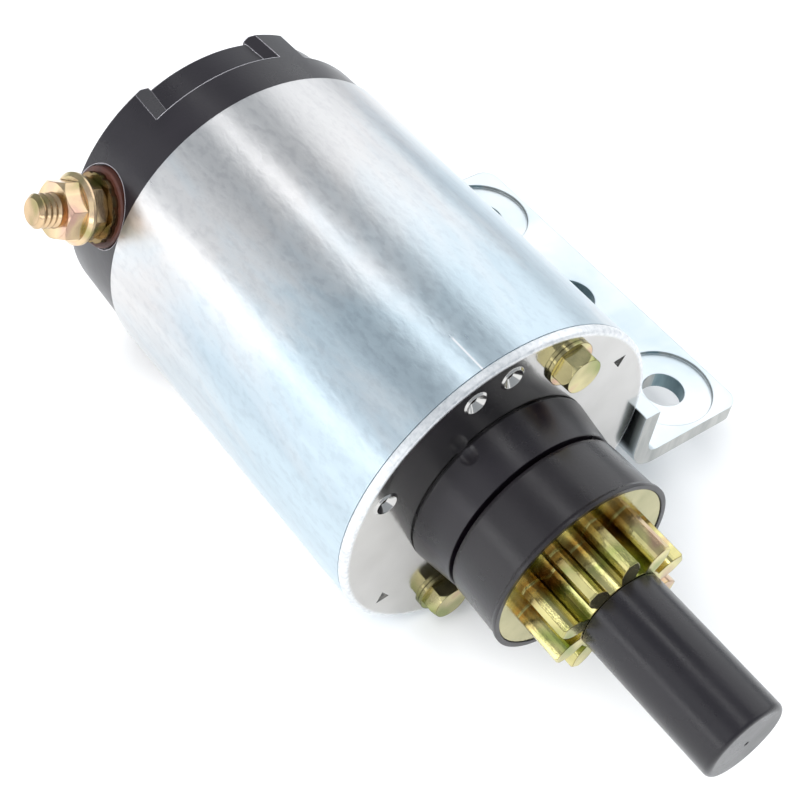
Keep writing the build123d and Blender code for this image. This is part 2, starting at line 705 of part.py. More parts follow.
def brush_lead(index, end_radius):
    """A short lead that leaves the brush box through its slot."""
    start_x = BRUSH_X - BRUSH_LENGTH / 2 - LEAD_BOX_GAP
    start = (start_x, LEAD_START, 0)
    bend = (start_x - LEAD_BOW, LEAD_START + LEAD_BOW_RISE, 0)
    end = (start_x - LEAD_END_OFFSET, end_radius, 0)
    path = Spline(start, bend, end, tangents=((-1, 0, 0), (0, 1, 0)))
    lead = sweep(Plane(origin=path @ 0, z_dir=path % 0) * Circle(LEAD_RADIUS), path=path)
    return Rot(X=brush_angle(index)) * lead


# Armature


def slotted_section(radius):
    """The round core section with a slot for each coil."""
    section = Circle(radius) - Circle(SHAFT_RADIUS)
    for index in range(SLOT_COUNT):
        turn = Rot(Z=index * 360 / SLOT_COUNT)
        mouth = Pos(SLOT_CENTRE + radius / 2, 0) * Rectangle(radius, SLOT_MOUTH)
        section -= turn * (Pos(SLOT_CENTRE, 0) * Circle(SLOT_RADIUS) + mouth)
    return section


def lamination_stack():
    section = slotted_section(STACK_RADIUS)
    return extrude(Plane.YZ.offset(STACK_REAR) * section, STACK_FRONT - STACK_REAR)


def end_insulator(x_start):
    section = slotted_section(END_INSULATOR_RADIUS)
    return extrude(Plane.YZ.offset(x_start) * section, END_INSULATOR)


def winding_end(x_start, x_end):
    """The rounded bundle of coil ends outside the stack."""
    bundle = tube(x_start, x_end, WINDING_OUTER, WINDING_INNER)
    rims = bundle.edges().filter_by(GeomType.CIRCLE).group_by(SortBy.RADIUS)[-1]
    return fillet(rims, WINDING_ROUND)


def armature_windings():
    rear = STACK_REAR - END_INSULATOR
    front = STACK_FRONT + END_INSULATOR
    windings = winding_end(rear - WINDING_OVERHANG, rear) + winding_end(front, front + WINDING_OVERHANG)
    for index in range(SLOT_COUNT):
        windings += around(tube(rear, front, CONDUCTOR_RADIUS), index * 360 / SLOT_COUNT, SLOT_CENTRE)
    return windings


def spline_section(gap):
    """The shaft's helical spline section, or with a gap the bore that runs on it."""
    section = Circle(SPLINE_ROOT_RADIUS + gap)
    for index in range(SPLINE_STARTS):
        tooth = Pos(JOURNAL_RADIUS / 2, 0) * Rectangle(JOURNAL_RADIUS, SPLINE_WIDTH + 2 * gap)
        section += Rot(Z=index * 360 / SPLINE_STARTS) * (tooth & Circle(JOURNAL_RADIUS + gap))
    return section


def twisted(section, x_start, x_end):
    """A section along X that turns left-handed, once for each SPLINE_LEAD."""
    start = Plane.YZ.offset(x_start)
    turn = -360 * (x_end - x_start) / SPLINE_LEAD
    first = Rot(Z=-360 * (x_start - SPLINE_REAR) / SPLINE_LEAD) * section
    return Solid.extrude_linear_with_rotation(
        (start * first).face(), start.origin, (x_end - x_start) * start.z_dir, turn
    )


def armature_shaft():
    shaft = tube(SHAFT_REAR, REAR_JOURNAL_FRONT, REAR_JOURNAL_RADIUS)
    shaft += tube(REAR_JOURNAL_FRONT, SHAFT_SHOULDER, SHAFT_RADIUS)
    shaft += tube(SHAFT_SHOULDER, SPLINE_REAR, JOURNAL_RADIUS)
    shaft += twisted(spline_section(0), SPLINE_REAR, SPLINE_FRONT)
    shaft += tube(SPLINE_FRONT, THREAD_REAR, SPLINE_ROOT_RADIUS)
    shaft += turned(
        (THREAD_REAR, 0),
        (THREAD_REAR, THREAD_RADIUS),
        (SHAFT_FRONT - SHAFT_CHAMFER, THREAD_RADIUS),
        (SHAFT_FRONT, THREAD_RADIUS - SHAFT_CHAMFER),
        (SHAFT_FRONT, 0),
    )
    return shaft


def commutator_core():
    return tube(COMMUTATOR_REAR, RISER_FRONT, CORE_RADIUS, SHAFT_RADIUS)


def commutator_segments():
    """The copper bars, each with a riser for its coil, kept apart by thin gaps."""
    ring = turned(
        (COMMUTATOR_REAR, CORE_RADIUS),
        (COMMUTATOR_REAR, COMMUTATOR_RADIUS),
        (COMMUTATOR_FRONT, COMMUTATOR_RADIUS),
        (COMMUTATOR_FRONT, RISER_RADIUS),
        (RISER_FRONT, RISER_RADIUS),
        (RISER_FRONT, CORE_RADIUS),
    )
    for index in range(SLOT_COUNT):
        gap = Pos((COMMUTATOR_REAR + RISER_FRONT) / 2, RISER_RADIUS, 0) * Box(
            RISER_FRONT - COMMUTATOR_REAR, 2 * RISER_RADIUS - CORE_RADIUS, BAR_GAP
        )
        ring -= Rot(X=index * 360 / SLOT_COUNT) * gap
    return ring


def front_thrust_washer():
    return tube(SHAFT_SHOULDER, SHAFT_SHOULDER + THRUST_WASHER, THRUST_WASHER_RADIUS, JOURNAL_RADIUS)


# Sliding drive


def involute_tooth_half(root, tip):
    """One flank of a pinion tooth from the root circle to the tip, as (radius, angle) pairs."""
    pitch_radius = PINION_MODULE * PINION_TEETH / 2
    base_radius = pitch_radius * math.cos(math.radians(PRESSURE_ANGLE))
    involute_at_pitch = math.tan(math.radians(PRESSURE_ANGLE)) - math.radians(PRESSURE_ANGLE)
    half_angle_at_base = math.pi / (2 * PINION_TEETH) + involute_at_pitch
    flank = [(root, half_angle_at_base)]
    steps = 6
    for step in range(steps + 1):
        radius = base_radius + (tip - base_radius) * step / steps
        roll = math.acos(min(1.0, base_radius / radius))
        flank.append((radius, half_angle_at_base - (math.tan(roll) - roll)))
    return flank


def pinion_tooth_section(root, tip):
    """One tooth centred on the section's X axis, rooted a little inside the root circle."""
    flank = involute_tooth_half(root, tip)
    upper = [(r * math.cos(a), r * math.sin(a)) for r, a in flank]
    lower = [(x, -y) for x, y in upper]
    outline = Polyline((root - TOOTH_BITE, 0), *lower, *reversed(upper), close=True)
    return make_face(outline)


def pinion():
    """The toothed pinion with its flange disc and the hub that fills the cup."""
    pitch_radius = PINION_MODULE * PINION_TEETH / 2
    tip = pitch_radius + PINION_MODULE
    root = pitch_radius - DEDENDUM_MODULES * PINION_MODULE
    section = Circle(root)
    for index in range(PINION_TEETH):
        turn = Rot(Z=PINION_PHASE + index * 360 / PINION_TEETH)
        section += turn * pinion_tooth_section(root, tip)
    teeth = extrude(Plane.YZ.offset(FLANGE_DISC_FRONT) * section, PINION_FRONT - FLANGE_DISC_FRONT)
    blank = turned(
        (FLANGE_DISC_FRONT, 0),
        (FLANGE_DISC_FRONT, tip),
        (PINION_FRONT - PINION_CHAMFER, tip),
        (PINION_FRONT, tip - PINION_CHAMFER),
        (PINION_FRONT, 0),
    )
    hub = tube(HUB_REAR, FLANGE_DISC_REAR, HUB_RADIUS)
    disc = tube(FLANGE_DISC_REAR, FLANGE_DISC_FRONT, FLANGE_DISC_RADIUS)
    bore = tube(HUB_REAR, PINION_FRONT, SLEEVE_RADIUS)
    return (teeth & blank) + disc + hub - bore


def screw_sleeve():
    """The splined sleeve that the armature's helix drives along the shaft."""
    sleeve = tube(SLEEVE_REAR, SLEEVE_FRONT, SLEEVE_RADIUS)
    sleeve += tube(SLEEVE_FLANGE_REAR, SLEEVE_FLANGE_FRONT, SLEEVE_FLANGE_RADIUS)
    return sleeve - twisted(spline_section(SPLINE_GAP), SLEEVE_REAR, SLEEVE_FRONT)


def drive_cup():
    """The black barrel around the cushion, flared to a small lip at its mouth."""
    lip_rear = CUP_FRONT - CUP_LIP
    inner_rear = CUP_REAR_RADIUS - CUP_WALL
    inner_front = FLANGE_DISC_RADIUS + CUP_FLANGE_GAP
    return turned(
        (CUP_REAR, SLEEVE_RADIUS),
        (CUP_REAR, CUP_REAR_RADIUS - CUP_CORNER),
        (CUP_REAR + CUP_CORNER / 4, CUP_REAR_RADIUS - CUP_CORNER / 4),
        (CUP_REAR + CUP_CORNER, CUP_REAR_RADIUS),
        (lip_rear, CUP_FRONT_RADIUS),
        (CUP_FRONT - CUP_LIP / 2, CUP_LIP_RADIUS),
        (CUP_FRONT, CUP_LIP_RADIUS),
        (CUP_FRONT, inner_front),
        (FLANGE_DISC_REAR, inner_front),
        (FLANGE_DISC_REAR, inner_rear),
        (CUP_REAR + CUP_FLOOR, inner_rear),
        (CUP_REAR + CUP_FLOOR, SLEEVE_RADIUS),
    )


def clutch_rear_washer():
    return tube(CUP_REAR + CUP_FLOOR, SLEEVE_FLANGE_REAR, CLUTCH_WASHER_RADIUS, SLEEVE_RADIUS)


def rubber_cushion():
    return tube(SLEEVE_FLANGE_FRONT, CUSHION_FRONT, CUSHION_RADIUS, CUSHION_INNER)


def clutch_front_washer():
    return tube(CUSHION_FRONT, FLANGE_DISC_REAR, CLUTCH_WASHER_RADIUS, HUB_RADIUS)


def dust_cover_spacer():
    flange = tube(SPACER_REAR, SPACER_REAR + SPACER_FLANGE, SPACER_FLANGE_RADIUS, SPACER_BORE)
    return flange + tube(SPACER_REAR + SPACER_FLANGE, SPACER_FRONT, SPACER_RADIUS, SPACER_BORE)


def dust_cover():
    """The long black cap over the shaft's end, with a lip inside the pinion's bore."""
    inner = COVER_RADIUS - COVER_WALL
    cover = tube(COVER_REAR, COVER_FRONT, COVER_RADIUS)
    end_rim = cover.edges().filter_by(GeomType.CIRCLE).sort_by(Axis.X)[-1]
    cover = fillet(end_rim, COVER_END_ROUND)
    cover -= tube(COVER_REAR + COVER_WALL, COVER_FRONT - COVER_END_WALL, inner)
    cover += tube(COVER_LIP_REAR, COVER_REAR, COVER_LIP_OUTER)
    cover -= tube(COVER_LIP_REAR, COVER_REAR + COVER_WALL, COVER_LIP_INNER)
    return cover - tube(COVER_FRONT - GATE_MARK_DEPTH, COVER_FRONT, GATE_MARK_RADIUS)


def anti_drift_spring():
    """The spring that holds the drive back on the shaft, seated on the spacer's flange."""
    start = SPACER_REAR + SPACER_FLANGE
    return coil(start, STOP_NUT_REAR - start, SPRING_TURNS, SPRING_RADIUS, SPRING_WIRE)


def stop_nut():
    hexagon = RegularPolygon(STOP_NUT_FLATS / 2, 6, major_radius=False)
    nut = extrude(Plane.YZ.offset(STOP_NUT_REAR) * hexagon, STOP_NUT_FRONT - STOP_NUT_REAR)
    return nut - tube(STOP_NUT_REAR, STOP_NUT_FRONT, THREAD_RADIUS)


# Mounting bracket


def bracket_section():
    """The L section seen along X: a plate and a leg, with a rounded bend."""
    outline = make_face(
        Polyline(
            (BRACKET_INNER_Y, BRACKET_BOTTOM_Z),
            (BRACKET_OUTER_Y, BRACKET_BOTTOM_Z),
            (BRACKET_OUTER_Y, BRACKET_TOP_Z),
            (BRACKET_INNER_Y + BRACKET_SHEET, BRACKET_TOP_Z),
            (BRACKET_INNER_Y + BRACKET_SHEET, LEG_TOP_Z),
            (BRACKET_INNER_Y, LEG_TOP_Z),
            close=True,
        )
    )
    corners = outline.vertices()
    outer_bend = corners.sort_by_distance((BRACKET_INNER_Y, BRACKET_BOTTOM_Z))[0]
    outline = fillet(outer_bend, BEND_OUTER_ROUND)
    inner_corner = (BRACKET_INNER_Y + BRACKET_SHEET, BRACKET_TOP_Z)
    inner_bend = outline.vertices().sort_by_distance(inner_corner)[0]
    return fillet(inner_bend, BEND_INNER_ROUND)


def mounting_bracket():
    """The bracket with two embossed bolt pads and a plain hole between them."""
    bracket = extrude(Plane.YZ.offset(BRACKET_REAR) * bracket_section(), BRACKET_FRONT - BRACKET_REAR)
    corners = bracket.edges().filter_by(Axis.Z).group_by(Axis.Y)[-1]
    bracket = fillet(corners, CORNER_ROUND)
    below = (Align.CENTER, Align.CENTER, Align.MAX)
    for side in (-1, 1):
        centre = Pos(MOUNT_CENTRE_X + side * MOUNT_HOLE_PITCH / 2, MOUNT_HOLE_Y, 0)
        pad = Pos(0, 0, BRACKET_BOTTOM_Z) * Cylinder(PAD_RING_RADIUS, PAD_EMBOSS, align=below)
        recess = Pos(0, 0, BRACKET_TOP_Z) * Cylinder(PAD_RING_RADIUS, PAD_EMBOSS, align=below)
        hole = Pos(0, 0, BRACKET_TOP_Z) * Cylinder(MOUNT_HOLE_RADIUS, 4 * BRACKET_SHEET)
        bracket += centre * pad
        bracket -= centre * recess
        bracket -= centre * hole
    centre_hole = Pos(MOUNT_CENTRE_X, MOUNT_HOLE_Y, BRACKET_TOP_Z)
    return bracket - centre_hole * Cylinder(CENTRE_HOLE_RADIUS, 4 * BRACKET_SHEET)


def bracket_weld(x_start, x_end):
    """A run of weld in the narrow corner between the leg's inner face and the can."""
    bead = Pos((x_start + x_end) / 2, BRACKET_INNER_Y - WELD_DEPTH / 2, (WELD_TOP_Z + WELD_BOTTOM_Z) / 2)
    bead *= Box(x_end - x_start, WELD_DEPTH, WELD_TOP_Z - WELD_BOTTOM_Z)
    return bead - tube(CAN_REAR, 0, CAN_RADIUS)


def main():
    os.makedirs("parts", exist_ok=True)
    export_piece(field_frame(), "field_frame")
    for index in range(MAGNET_COUNT):
        export_piece(field_magnet(index), f"field_magnet_{index + 1}")
    export_piece(Compound([magnet_clip(angle) for angle in CLIP_ANGLES]), "magnet_clips")
    export_piece(drive_end_plate(), "drive_end_plate")
    export_piece(drive_end_nose(), "drive_end_nose")
    export_piece(front_bushing(), "front_bushing")
    for index, angle in enumerate(BOLT_ANGLES):
        export_piece(through_bolt(angle), f"through_bolt_{index + 1}")
    export_piece(commutator_end_cap(), "commutator_end_cap")
    export_piece(rear_bushing(), "rear_bushing")
    export_piece(terminal_stud(), "terminal_stud")
    export_piece(terminal_strap(), "terminal_strap")
    export_piece(terminal_inner_insulator(), "terminal_inner_insulator")
    export_piece(terminal_outer_insulator(), "terminal_outer_insulator")
    export_piece(terminal_washer(), "terminal_washer")
    export_piece(terminal_jam_nut(), "terminal_jam_nut")
    export_piece(terminal_flange_nut(), "terminal_flange_nut")
    export_piece(brush_holder_plate(), "brush_holder_plate")
    screws = [brush_plate_screw(angle) for angle in HOLDER_SCREW_ANGLES]
    export_piece(Compound(screws), "brush_plate_screws")
    lead_ends = (CAP_BORE, STRAP_RADIUS, STRAP_RADIUS, CAP_BORE)
    leads = [brush_lead(index, end) for index, end in enumerate(lead_ends)]
    export_piece(Compound(leads), "brush_leads")
    for index in range(BRUSH_COUNT):
        export_piece(brush_box(index), f"brush_box_{index + 1}")
        export_piece(brush(index), f"brush_{index + 1}")
        export_piece(brush_spring(index), f"brush_spring_{index + 1}")
    export_piece(armature_shaft(), "armature_shaft")
    export_piece(lamination_stack(), "lamination_stack")
    export_piece(end_insulator(STACK_REAR - END_INSULATOR), "end_insulator_rear")
    export_piece(end_insulator(STACK_FRONT), "end_insulator_front")
    export_piece(armature_windings(), "armature_windings")
    export_piece(commutator_core(), "commutator_core")
    export_piece(commutator_segments(), "commutator_segments")
    export_piece(front_thrust_washer(), "front_thrust_washer")
    export_piece(pinion(), "pinion")
    export_piece(screw_sleeve(), "screw_sleeve")
    export_piece(drive_cup(), "drive_cup")
    export_piece(clutch_rear_washer(), "clutch_rear_washer")
    export_piece(rubber_cushion(), "rubber_cushion")
    export_piece(clutch_front_washer(), "clutch_front_washer")
    export_piece(dust_cover_spacer(), "dust_cover_spacer")
    export_piece(dust_cover(), "dust_cover")
    export_piece(anti_drift_spring(), "anti_drift_spring")
    export_piece(stop_nut(), "stop_nut")
    export_piece(mounting_bracket(), "mounting_bracket")
    export_piece(Compound([bracket_weld(*stitch) for stitch in WELD_STITCHES]), "bracket_welds")


main()
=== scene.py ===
import json
import math

import bpy
from mathutils import Matrix, Vector


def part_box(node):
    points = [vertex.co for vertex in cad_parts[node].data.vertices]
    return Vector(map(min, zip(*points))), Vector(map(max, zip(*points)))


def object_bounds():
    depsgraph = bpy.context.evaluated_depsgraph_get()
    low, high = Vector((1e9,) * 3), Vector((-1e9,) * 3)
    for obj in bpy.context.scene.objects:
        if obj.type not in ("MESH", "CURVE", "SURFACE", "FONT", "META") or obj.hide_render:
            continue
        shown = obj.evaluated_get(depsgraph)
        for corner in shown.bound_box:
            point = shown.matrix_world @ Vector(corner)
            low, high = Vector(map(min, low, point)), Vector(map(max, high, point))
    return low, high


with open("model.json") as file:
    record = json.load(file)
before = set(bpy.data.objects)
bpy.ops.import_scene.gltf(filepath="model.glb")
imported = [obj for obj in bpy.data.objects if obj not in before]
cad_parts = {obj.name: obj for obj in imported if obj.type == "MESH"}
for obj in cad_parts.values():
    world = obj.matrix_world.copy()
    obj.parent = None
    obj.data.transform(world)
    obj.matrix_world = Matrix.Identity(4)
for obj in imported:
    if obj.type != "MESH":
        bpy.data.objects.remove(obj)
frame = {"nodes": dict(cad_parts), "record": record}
cad_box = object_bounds()

MM = 0.001
MICRON = 0.000001

# The motor's axis runs along X through this point, midway across the armature shaft.
SHAFT_LOW, SHAFT_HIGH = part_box("armature_shaft")
AXIS_Y = (SHAFT_LOW.y + SHAFT_HIGH.y) / 2
AXIS_Z = (SHAFT_LOW.z + SHAFT_HIGH.z) / 2
CAN_LOW, CAN_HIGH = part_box("field_frame")
CAN_RADIUS = (CAN_HIGH.z - CAN_LOW.z) / 2

# A line scribed along the can's top from its front end
SCRIBE_ANGLE = math.radians(105.7)
SCRIBE_REAR_X = CAN_HIGH.x - 10.1 * MM
SCRIBE_FADE = 0.8 * MM
SCRIBE_HALF_WIDTH = 0.10 * MM
SCRIBE_EDGE = 0.30 * MM

# The end plate's satin rim, measured inwards from the can's outside
RIM_INNER_EDGE = 1.6 * MM
RIM_FULL = 0.9 * MM

# The bracket: its hole walls lie within HOLE_BAND of the frame's X axis and carry painted shade, and the
# face of its leg carries painted shade where the can covers it, fading out over the last 2.4 mm before the
# bracket's front end.
BRACKET_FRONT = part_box("mounting_bracket")[1].x
HOLE_BAND = 7.0 * MM
HOLE_BAND_EDGE = 1.0 * MM
PAINTED_SHADE_FADE = 2.4 * MM
PAINTED_SHADE_DEPTH = 0.5 * MM

# The pinion's browned teeth, measured forwards from its flange
FLANGE_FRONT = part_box("drive_cup")[1].x
FLANGE_EDGE = 0.2 * MM
BROWN_FULL = 0.6 * MM
BROWN_END = 4.5 * MM
BROWN_RAGGED = 1.2 * MM

# Width of the line along an edge: a painted highlight on black paint, a stained line on chromate
PAINT_EDGE_LINE = 0.45 * MM
BOLT_STAIN = 0.5 * MM
TOOTH_STAIN = 0.4 * MM

# Camera, in the shared frame
CAMERA_PLACE = Vector((185.5, -236.2, 285.8)) * MM
CAMERA_FORWARD = Vector((-0.4769, 0.4706, -0.7423))
CAMERA_UP = Vector((-0.6452, 0.3861, 0.6593))
CAMERA_LENS = 72.2
SENSOR_WIDTH = 36.0
CLIP_START = 0.01

FLOOR_SIZE = 6.0

# Strip lights parallel to the motor's axis: name, angle about the axis, width, power
LIGHT_DISTANCE = 1.2
STRIP_LENGTH = 2.4
STRIP_LIGHTS = (
    ("behind", 38.0, 1.20, 9.5),
    ("overhead", 96.0, 0.13, 3.4),
    ("left", 170.0, 0.26, 4.5),
    ("left_high", 142.0, 0.5, 2.1),
)

# A wide light that brightens the floor and isn't reflected in the metal
FILL_ANGLE = 128.0
FILL_DISTANCE = 1.5
FILL_ALONG = 0.1
FILL_SIZE = 1.2
FILL_POWER = 24.0

WHITE = (1.0, 1.0, 1.0)


# Node helpers


def start_material(name):
    """A new material with its node tree and main shader."""
    material = bpy.data.materials.new(name)
    material.use_nodes = True
    tree = material.node_tree
    return material, tree, tree.nodes["Principled BSDF"]


def place(tree, stretch):
    """The surface point in the shared frame, stretched before it reaches a texture."""
    coordinates = tree.nodes.new("ShaderNodeTexCoord")
    mapping = tree.nodes.new("ShaderNodeMapping")
    mapping.inputs["Scale"].default_value = stretch
    tree.links.new(coordinates.outputs["Object"], mapping.inputs["Vector"])
    return mapping.outputs["Vector"]


def noise(tree, scale, stretch=(1, 1, 1), detail=3.0, roughness=0.55, distortion=0.0):
    """Soft random variation about 0.5."""
    texture = tree.nodes.new("ShaderNodeTexNoise")
    texture.inputs["Scale"].default_value = scale
    texture.inputs["Detail"].default_value = detail
    texture.inputs["Roughness"].default_value = roughness
    texture.inputs["Distortion"].default_value = distortion
    tree.links.new(place(tree, stretch), texture.inputs["Vector"])
    return texture.outputs["Fac"]


def bands(tree, direction, scale, distortion=0.0):
    """Regular bands across one direction."""
    texture = tree.nodes.new("ShaderNodeTexWave")
    texture.bands_direction = direction
    texture.inputs["Scale"].default_value = scale
    texture.inputs["Distortion"].default_value = distortion
    tree.links.new(place(tree, (1, 1, 1)), texture.inputs["Vector"])
    return texture.outputs["Fac"]


def ramp(tree, factor, *stops):
    """Colours along a factor, each stop as (position, (r, g, b))."""
    node = tree.nodes.new("ShaderNodeValToRGB")
    elements = node.color_ramp.elements
    while len(elements) < len(stops):
        elements.new(0.5)
    for element, (position, colour) in zip(elements, stops):
        element.position = position
        element.color = (*colour, 1.0)
    tree.links.new(factor, node.inputs["Fac"])
    return node.outputs["Color"]


def spread(tree, factor, low, high, from_low=0.3, from_high=0.7):
    """The factor's range from_low..from_high mapped to low..high and held beyond it."""
    node = tree.nodes.new("ShaderNodeMapRange")
    node.inputs["From Min"].default_value = from_low
    node.inputs["From Max"].default_value = from_high
    node.inputs["To Min"].default_value = low
    node.inputs["To Max"].default_value = high
    tree.links.new(factor, node.inputs["Value"])
    return node.outputs["Result"]


def mix(tree, factor, first, second, blend="MIX"):
    """Two colours blended by a factor, which is a socket or a number."""
    node = tree.nodes.new("ShaderNodeMix")
    node.data_type = "RGBA"
    node.blend_type = blend
    colour_inputs = [socket for socket in node.inputs if socket.type == "RGBA"]
    if isinstance(factor, float):
        node.inputs["Factor"].default_value = factor
    else:
        tree.links.new(factor, node.inputs["Factor"])
    tree.links.new(first, colour_inputs[0])
    tree.links.new(second, colour_inputs[1])
    return [socket for socket in node.outputs if socket.type == "RGBA"][0]


def combine(tree, operation, first, second=0.0):
    """A math node on a socket and a socket or number."""
    node = tree.nodes.new("ShaderNodeMath")
    node.operation = operation
    tree.links.new(first, node.inputs[0])
    if isinstance(second, float):
        node.inputs[1].default_value = second
    else:
        tree.links.new(second, node.inputs[1])
    return node.outputs["Value"]


def rounded_normal(tree, radius, samples):
    """The surface normal with edges rounded by a radius."""
    rounded = tree.nodes.new("ShaderNodeBevel")
    rounded.samples = samples
    rounded.inputs["Radius"].default_value = radius
    return rounded.outputs["Normal"]


def soften(tree, shader, height, depth, edge):
    """Bump of a depth over edges rounded by a radius."""
    bump = tree.nodes.new("ShaderNodeBump")
    bump.inputs["Distance"].default_value = depth
    tree.links.new(height, bump.inputs["Height"])
    tree.links.new(rounded_normal(tree, edge, 6), bump.inputs["Normal"])
    tree.links.new(bump.outputs["Normal"], shader.inputs["Normal"])


def connect(tree, shader, colour, metallic, roughness):
    """Give the main shader its colour, its metallic value and its roughness."""
    tree.links.new(colour, shader.inputs["Base Color"])
    shader.inputs["Metallic"].default_value = metallic
    tree.links.new(roughness, shader.inputs["Roughness"])


def coordinate(tree, letter):
    """One coordinate of the surface point in the shared frame."""
    coordinates = tree.nodes.new("ShaderNodeTexCoord")
    split = tree.nodes.new("ShaderNodeSeparateXYZ")
    tree.links.new(coordinates.outputs["Object"], split.inputs["Vector"])
    return split.outputs[letter]


def offset_from_axis(tree):
    """How far the surface point lies from the motor's axis along Y and along Z."""
    across = combine(tree, "SUBTRACT", coordinate(tree, "Y"), AXIS_Y)
    up = combine(tree, "SUBTRACT", coordinate(tree, "Z"), AXIS_Z)
    return across, up


def radius_from_axis(tree):
    """Distance from the motor's axis."""
    across, up = offset_from_axis(tree)
    across_squared = combine(tree, "MULTIPLY", across, across)
    up_squared = combine(tree, "MULTIPLY", up, up)
    return combine(tree, "SQRT", combine(tree, "ADD", across_squared, up_squared))


def angle_about_axis(tree):
    """Angle about the motor's axis in radians, 0 towards +Y and rising towards +Z."""
    across, up = offset_from_axis(tree)
    return combine(tree, "ARCTAN2", up, across)


def edge_line_mask(tree, reach):
    """1 on edges and corners within reach, 0 on open surface."""
    geometry = tree.nodes.new("ShaderNodeNewGeometry")
    product = tree.nodes.new("ShaderNodeVectorMath")
    product.operation = "DOT_PRODUCT"
    tree.links.new(rounded_normal(tree, reach, 8), product.inputs[0])
    tree.links.new(geometry.outputs["Normal"], product.inputs[1])
    return spread(tree, product.outputs["Value"], 1.0, 0.0, 0.80, 0.99)


def facing(tree, letter):
    """How squarely the surface faces along one axis, 0 to 1."""
    geometry = tree.nodes.new("ShaderNodeNewGeometry")
    split = tree.nodes.new("ShaderNodeSeparateXYZ")
    tree.links.new(geometry.outputs["True Normal"], split.inputs["Vector"])
    return combine(tree, "ABSOLUTE", split.outputs[letter])


def scaled(colour, factor):
    """A colour made lighter or darker, held at white."""
    return tuple(min(1.0, channel * factor) for channel in colour)


# Materials


def plain_surface(name, light, dark, metallic, roughness, patch):
    """A surface with soft patches between two colours, uneven gloss and a fine grain."""
    material, tree, shader = start_material(name)
    colour = ramp(tree, noise(tree, patch, detail=4.0), (0.35, dark), (0.65, light))
    gloss = spread(tree, noise(tree, patch * 3), roughness - 0.06, roughness + 0.08)
    connect(tree, shader, colour, metallic, gloss)
    soften(tree, shader, noise(tree, 1500.0, detail=2.0), 20 * MICRON, 0.25 * MM)
    return material


def scribed_line(tree):
    """1 along the fine line scribed on the can from its front seam, 0 elsewhere."""
    turn = combine(tree, "SUBTRACT", angle_about_axis(tree), SCRIBE_ANGLE)
    distance = combine(tree, "ABSOLUTE", combine(tree, "MULTIPLY", turn, CAN_RADIUS))
    narrow = spread(tree, distance, 1.0, 0.0, SCRIBE_HALF_WIDTH, SCRIBE_EDGE)
    along = coordinate(tree, "X")
    near_front = spread(tree, along, 0.0, 1.0, SCRIBE_REAR_X, SCRIBE_REAR_X + SCRIBE_FADE)
    return combine(tree, "MULTIPLY", narrow, near_front)


def zinc_can(name):
    """Bright zinc on the can: satin, streaked along the axis, bluer towards the pinion."""
    material, tree, shader = start_material(name)
    streaks = noise(tree, 42.0, stretch=(0.12, 1, 1), detail=5.0, roughness=0.6)
    clouds = noise(tree, 30.0, stretch=(0.4, 1, 1), detail=5.0, roughness=0.6, distortion=0.5)
    mottle = noise(tree, 700.0, stretch=(0.5, 1, 1), detail=3.0, roughness=0.6)
    base = ramp(
        tree, streaks, (0.30, (0.52, 0.53, 0.55)), (0.46, (0.63, 0.64, 0.65)), (0.64, (0.72, 0.73, 0.74))
    )
    towards_front = spread(tree, coordinate(tree, "X"), 0.0, 1.0, CAN_LOW.x, CAN_HIGH.x)
    blueness = combine(tree, "ADD", towards_front, spread(tree, clouds, -0.8, 0.8))
    tint = ramp(
        tree, blueness, (0.0, (1.0, 0.97, 0.95)), (0.45, (0.94, 0.98, 1.0)), (1.0, (0.80, 0.93, 1.0))
    )
    speckle = ramp(tree, mottle, (0.36, (0.88, 0.88, 0.89)), (0.52, WHITE))
    spangled = mix(tree, 0.7, mix(tree, 1.0, base, tint, "MULTIPLY"), speckle, "MULTIPLY")
    line = scribed_line(tree)
    bright = ramp(tree, mottle, (0.0, (0.96, 0.97, 0.98)), (1.0, WHITE))
    gloss = combine(tree, "ADD", spread(tree, streaks, 0.36, 0.28), spread(tree, mottle, -0.03, 0.03))
    dull_line = combine(tree, "MULTIPLY", line, 0.5)
    connect(tree, shader, mix(tree, line, spangled, bright), 1.0, combine(tree, "ADD", gloss, dull_line))
    grain = combine(tree, "ADD", mottle, noise(tree, 220.0, stretch=(0.2, 1, 1)))
    soften(tree, shader, grain, 40 * MICRON, 0.15 * MM)
    return material


def zinc_plate(name):
    """The end plate: a smooth reflecting face with a brighter satin rim."""
    material, tree, shader = start_material(name)
    radius = radius_from_axis(tree)
    rim = spread(tree, radius, 0.0, 1.0, CAN_RADIUS - RIM_INNER_EDGE, CAN_RADIUS - RIM_FULL)
    patches = noise(tree, 90.0, detail=4.0)
    face = ramp(tree, patches, (0.3, (0.50, 0.49, 0.475)), (0.7, (0.56, 0.55, 0.535)))
    grain = noise(tree, 900.0, detail=3.0)
    frosting = ramp(tree, grain, (0.3, (0.64, 0.66, 0.68)), (0.6, (0.82, 0.83, 0.84)))
    gloss = spread(tree, rim, 0.13, 0.45, 0.0, 1.0)
    connect(tree, shader, mix(tree, rim, face, frosting), 1.0, gloss)
    soften(tree, shader, noise(tree, 900.0, detail=2.0), 10 * MICRON, 0.2 * MM)
    return material


